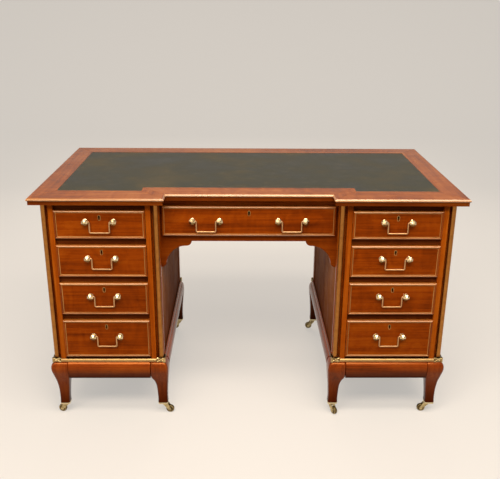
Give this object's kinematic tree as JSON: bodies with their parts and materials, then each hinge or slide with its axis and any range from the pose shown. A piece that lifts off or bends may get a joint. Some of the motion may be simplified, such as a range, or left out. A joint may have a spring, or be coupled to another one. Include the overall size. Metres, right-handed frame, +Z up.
{
  "type": "kneehole desk",
  "caption": "Breakfront mahogany kneehole desk with leather top, graduated drawers, bail handles, brass columns and cabriole legs on castors.",
  "frame": {"origin": "on the floor, under the middle of the top", "axes": "+X along the front to the right of a person facing it, +Y from the front to the back, +Z up"},
  "size_m": [1.37, 0.74, 0.788],
  "materials": {
    "mahogany": "polished red-brown mahogany",
    "dark_mahogany": "polished dark mahogany",
    "leather": "dark green leather, waxed",
    "brass": "polished brass"
  },
  "bodies": {
    "carcass": {"top_frame": "mahogany", "top_edge_moulding": "mahogany", "leather_writing_surface": "leather", "top_panel": "mahogany", "corner_posts": "mahogany", "brass_columns": "brass", "pedestal_sides": "mahogany", "pedestal_backs": "dark_mahogany", "drawer_dividers": "dark_mahogany", "kneehole_frame": "mahogany", "kneehole_brackets": "mahogany", "stand_rails": "dark_mahogany", "brass_base_beads": "brass", "brass_corner_blocks": "brass", "cabriole_legs": "dark_mahogany", "castor_sockets": "brass"},
    "left_drawer_1": {"left_drawer_1_box": "mahogany", "left_drawer_1_brass": "brass"},
    "left_drawer_1_bail": {"left_drawer_1_bail": "brass"},
    "left_drawer_2": {"left_drawer_2_box": "mahogany", "left_drawer_2_brass": "brass"},
    "left_drawer_2_bail": {"left_drawer_2_bail": "brass"},
    "left_drawer_3": {"left_drawer_3_box": "mahogany", "left_drawer_3_brass": "brass"},
    "left_drawer_3_bail": {"left_drawer_3_bail": "brass"},
    "left_drawer_4": {"left_drawer_4_box": "mahogany", "left_drawer_4_brass": "brass"},
    "left_drawer_4_bail": {"left_drawer_4_bail": "brass"},
    "right_drawer_1": {"right_drawer_1_box": "mahogany", "right_drawer_1_brass": "brass"},
    "right_drawer_1_bail": {"right_drawer_1_bail": "brass"},
    "right_drawer_2": {"right_drawer_2_box": "mahogany", "right_drawer_2_brass": "brass"},
    "right_drawer_2_bail": {"right_drawer_2_bail": "brass"},
    "right_drawer_3": {"right_drawer_3_box": "mahogany", "right_drawer_3_brass": "brass"},
    "right_drawer_3_bail": {"right_drawer_3_bail": "brass"},
    "right_drawer_4": {"right_drawer_4_box": "mahogany", "right_drawer_4_brass": "brass"},
    "right_drawer_4_bail": {"right_drawer_4_bail": "brass"},
    "centre_drawer": {"centre_drawer_box": "mahogany", "centre_drawer_brass": "brass"},
    "centre_drawer_left_bail": {"centre_drawer_left_bail": "brass"},
    "centre_drawer_right_bail": {"centre_drawer_right_bail": "brass"},
    "castor_fork_left_front_outer": {"castor_fork_left_front_outer": "brass"},
    "castor_wheel_left_front_outer": {"castor_wheel_left_front_outer": "brass"},
    "castor_fork_left_front_inner": {"castor_fork_left_front_inner": "brass"},
    "castor_wheel_left_front_inner": {"castor_wheel_left_front_inner": "brass"},
    "castor_fork_left_back_inner": {"castor_fork_left_back_inner": "brass"},
    "castor_wheel_left_back_inner": {"castor_wheel_left_back_inner": "brass"},
    "castor_fork_left_back_outer": {"castor_fork_left_back_outer": "brass"},
    "castor_wheel_left_back_outer": {"castor_wheel_left_back_outer": "brass"},
    "castor_fork_right_front_inner": {"castor_fork_right_front_inner": "brass"},
    "castor_wheel_right_front_inner": {"castor_wheel_right_front_inner": "brass"},
    "castor_fork_right_front_outer": {"castor_fork_right_front_outer": "brass"},
    "castor_wheel_right_front_outer": {"castor_wheel_right_front_outer": "brass"},
    "castor_fork_right_back_outer": {"castor_fork_right_back_outer": "brass"},
    "castor_wheel_right_back_outer": {"castor_wheel_right_back_outer": "brass"},
    "castor_fork_right_back_inner": {"castor_fork_right_back_inner": "brass"},
    "castor_wheel_right_back_inner": {"castor_wheel_right_back_inner": "brass"}
  },
  "joints": [
    {"name": "left_drawer_1_slide", "type": "slide", "parent": "carcass", "child": "left_drawer_1", "axis": [0, -1, 0], "range_m": [0, 0.4]},
    {"name": "left_drawer_1_bail_swing", "type": "hinge", "parent": "left_drawer_1", "child": "left_drawer_1_bail", "pos_m": [-0.4685, -0.3525, 0.708], "axis": [-1, 0, 0], "range_deg": [-5, 100]},
    {"name": "left_drawer_2_slide", "type": "slide", "parent": "carcass", "child": "left_drawer_2", "axis": [0, -1, 0], "range_m": [0, 0.4]},
    {"name": "left_drawer_2_bail_swing", "type": "hinge", "parent": "left_drawer_2", "child": "left_drawer_2_bail", "pos_m": [-0.4685, -0.3525, 0.5855], "axis": [-1, 0, 0], "range_deg": [-5, 100]},
    {"name": "left_drawer_3_slide", "type": "slide", "parent": "carcass", "child": "left_drawer_3", "axis": [0, -1, 0], "range_m": [0, 0.4]},
    {"name": "left_drawer_3_bail_swing", "type": "hinge", "parent": "left_drawer_3", "child": "left_drawer_3_bail", "pos_m": [-0.4685, -0.3525, 0.454], "axis": [-1, 0, 0], "range_deg": [-5, 100]},
    {"name": "left_drawer_4_slide", "type": "slide", "parent": "carcass", "child": "left_drawer_4", "axis": [0, -1, 0], "range_m": [0, 0.4]},
    {"name": "left_drawer_4_bail_swing", "type": "hinge", "parent": "left_drawer_4", "child": "left_drawer_4_bail", "pos_m": [-0.4685, -0.3525, 0.309], "axis": [-1, 0, 0], "range_deg": [-5, 100]},
    {"name": "right_drawer_1_slide", "type": "slide", "parent": "carcass", "child": "right_drawer_1", "axis": [0, -1, 0], "range_m": [0, 0.4]},
    {"name": "right_drawer_1_bail_swing", "type": "hinge", "parent": "right_drawer_1", "child": "right_drawer_1_bail", "pos_m": [0.4685, -0.3525, 0.708], "axis": [-1, 0, 0], "range_deg": [-5, 100]},
    {"name": "right_drawer_2_slide", "type": "slide", "parent": "carcass", "child": "right_drawer_2", "axis": [0, -1, 0], "range_m": [0, 0.4]},
    {"name": "right_drawer_2_bail_swing", "type": "hinge", "parent": "right_drawer_2", "child": "right_drawer_2_bail", "pos_m": [0.4685, -0.3525, 0.5855], "axis": [-1, 0, 0], "range_deg": [-5, 100]},
    {"name": "right_drawer_3_slide", "type": "slide", "parent": "carcass", "child": "right_drawer_3", "axis": [0, -1, 0], "range_m": [0, 0.4]},
    {"name": "right_drawer_3_bail_swing", "type": "hinge", "parent": "right_drawer_3", "child": "right_drawer_3_bail", "pos_m": [0.4685, -0.3525, 0.454], "axis": [-1, 0, 0], "range_deg": [-5, 100]},
    {"name": "right_drawer_4_slide", "type": "slide", "parent": "carcass", "child": "right_drawer_4", "axis": [0, -1, 0], "range_m": [0, 0.4]},
    {"name": "right_drawer_4_bail_swing", "type": "hinge", "parent": "right_drawer_4", "child": "right_drawer_4_bail", "pos_m": [0.4685, -0.3525, 0.309], "axis": [-1, 0, 0], "range_deg": [-5, 100]},
    {"name": "centre_drawer_slide", "type": "slide", "parent": "carcass", "child": "centre_drawer", "axis": [0, -1, 0], "range_m": [0, 0.36]},
    {"name": "centre_drawer_left_bail_swing", "type": "hinge", "parent": "centre_drawer", "child": "centre_drawer_left_bail", "pos_m": [-0.138, -0.3025, 0.6955], "axis": [-1, 0, 0], "range_deg": [-5, 100]},
    {"name": "centre_drawer_right_bail_swing", "type": "hinge", "parent": "centre_drawer", "child": "centre_drawer_right_bail", "pos_m": [0.138, -0.3025, 0.6955], "axis": [-1, 0, 0], "range_deg": [-5, 100]},
    {"name": "left_front_outer_swivel", "type": "hinge", "parent": "carcass", "child": "castor_fork_left_front_outer", "pos_m": [-0.6275, -0.3195, 0.043], "axis": [0, 0, 1], "continuous": true},
    {"name": "left_front_outer_roll", "type": "hinge", "parent": "castor_fork_left_front_outer", "child": "castor_wheel_left_front_outer", "pos_m": [-0.64621, -0.3162, 0.014], "axis": [-0.1736, -0.9848, 0], "continuous": true},
    {"name": "left_front_inner_swivel", "type": "hinge", "parent": "carcass", "child": "castor_fork_left_front_inner", "pos_m": [-0.29, -0.3195, 0.043], "axis": [0, 0, 1], "continuous": true},
    {"name": "left_front_inner_roll", "type": "hinge", "parent": "castor_fork_left_front_inner", "child": "castor_wheel_left_front_inner", "pos_m": [-0.27118, -0.32214, 0.014], "axis": [0.1392, 0.9903, 0], "continuous": true},
    {"name": "left_back_inner_swivel", "type": "hinge", "parent": "carcass", "child": "castor_fork_left_back_inner", "pos_m": [-0.29, 0.3195, 0.043], "axis": [0, 0, 1], "continuous": true},
    {"name": "left_back_inner_roll", "type": "hinge", "parent": "castor_fork_left_back_inner", "child": "castor_wheel_left_back_inner", "pos_m": [-0.30899, 0.31884, 0.014], "axis": [0.0349, -0.9994, 0], "continuous": true},
    {"name": "left_back_outer_swivel", "type": "hinge", "parent": "carcass", "child": "castor_fork_left_back_outer", "pos_m": [-0.6275, 0.3195, 0.043], "axis": [0, 0, 1], "continuous": true},
    {"name": "left_back_outer_roll", "type": "hinge", "parent": "castor_fork_left_back_outer", "child": "castor_wheel_left_back_outer", "pos_m": [-0.64649, 0.31884, 0.014], "axis": [0.0349, -0.9994, 0], "continuous": true},
    {"name": "right_front_inner_swivel", "type": "hinge", "parent": "carcass", "child": "castor_fork_right_front_inner", "pos_m": [0.29, -0.3195, 0.043], "axis": [0, 0, 1], "continuous": true},
    {"name": "right_front_inner_roll", "type": "hinge", "parent": "castor_fork_right_front_inner", "child": "castor_wheel_right_front_inner", "pos_m": [0.30007, -0.33561, 0.014], "axis": [0.848, 0.5299, 0], "continuous": true},
    {"name": "right_front_outer_swivel", "type": "hinge", "parent": "carcass", "child": "castor_fork_right_front_outer", "pos_m": [0.6275, -0.3195, 0.043], "axis": [0, 0, 1], "continuous": true},
    {"name": "right_front_outer_roll", "type": "hinge", "parent": "castor_fork_right_front_outer", "child": "castor_wheel_right_front_outer", "pos_m": [0.60868, -0.31686, 0.014], "axis": [-0.1392, -0.9903, 0], "continuous": true},
    {"name": "right_back_outer_swivel", "type": "hinge", "parent": "carcass", "child": "castor_fork_right_back_outer", "pos_m": [0.6275, 0.3195, 0.043], "axis": [0, 0, 1], "continuous": true},
    {"name": "right_back_outer_roll", "type": "hinge", "parent": "castor_fork_right_back_outer", "child": "castor_wheel_right_back_outer", "pos_m": [0.60851, 0.31884, 0.014], "axis": [0.0349, -0.9994, 0], "continuous": true},
    {"name": "right_back_inner_swivel", "type": "hinge", "parent": "carcass", "child": "castor_fork_right_back_inner", "pos_m": [0.29, 0.3195, 0.043], "axis": [0, 0, 1], "continuous": true},
    {"name": "right_back_inner_roll", "type": "hinge", "parent": "castor_fork_right_back_inner", "child": "castor_wheel_right_back_inner", "pos_m": [0.27101, 0.31884, 0.014], "axis": [0.0349, -0.9994, 0], "continuous": true}
  ]
}
